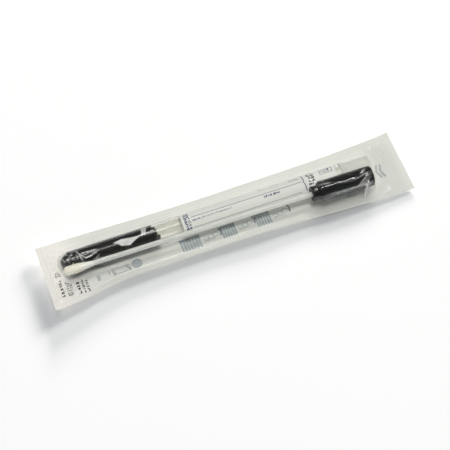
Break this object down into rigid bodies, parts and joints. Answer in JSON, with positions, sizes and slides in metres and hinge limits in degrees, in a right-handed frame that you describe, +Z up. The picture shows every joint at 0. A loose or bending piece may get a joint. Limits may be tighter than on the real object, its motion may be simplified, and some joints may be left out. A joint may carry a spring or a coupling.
{
  "type": "specimen swab tube",
  "caption": "Sealed see-through peel pouch that holds a clear round-bottomed tube with black transport gel and a fibre-tipped swab on a black cap.",
  "frame": {"origin": "middle of the flat underside the pouch rests on, under the centre of the pouch", "axes": "+X along the pouch from the swab's bud to its cap, +Y across the pouch away from the swab, +Z up out of the face with the clear film"},
  "size_m": [0.204, 0.0376, 0.0206],
  "materials": {
    "clear_film": "thin clear laminate film, soft creases, sealed edges slightly milky",
    "white_web": null,
    "clear_tube": "clear smooth moulded plastic",
    "charcoal_gel": "smooth wet black gel",
    "label_stock": "smooth white label with fine violet form lines",
    "natural_plastic": "uncoloured translucent moulded plastic",
    "black_plastic": "black moulded plastic, satin gloss, fine lengthwise flutes",
    "white_plastic": "smooth white plastic stick",
    "swab_fibre": "spun cream fibre, fine and slightly fuzzy"
  },
  "bodies": {
    "root": {"pouch_film": "clear_film", "pouch_back": "white_web", "specimen_tube": "clear_tube", "transport_medium": "charcoal_gel", "tube_label": "label_stock", "tube_stopper": "natural_plastic", "swab_cap": "black_plastic", "swab_shaft": "white_plastic", "swab_bud": "swab_fibre"}
  },
  "joints": []
}
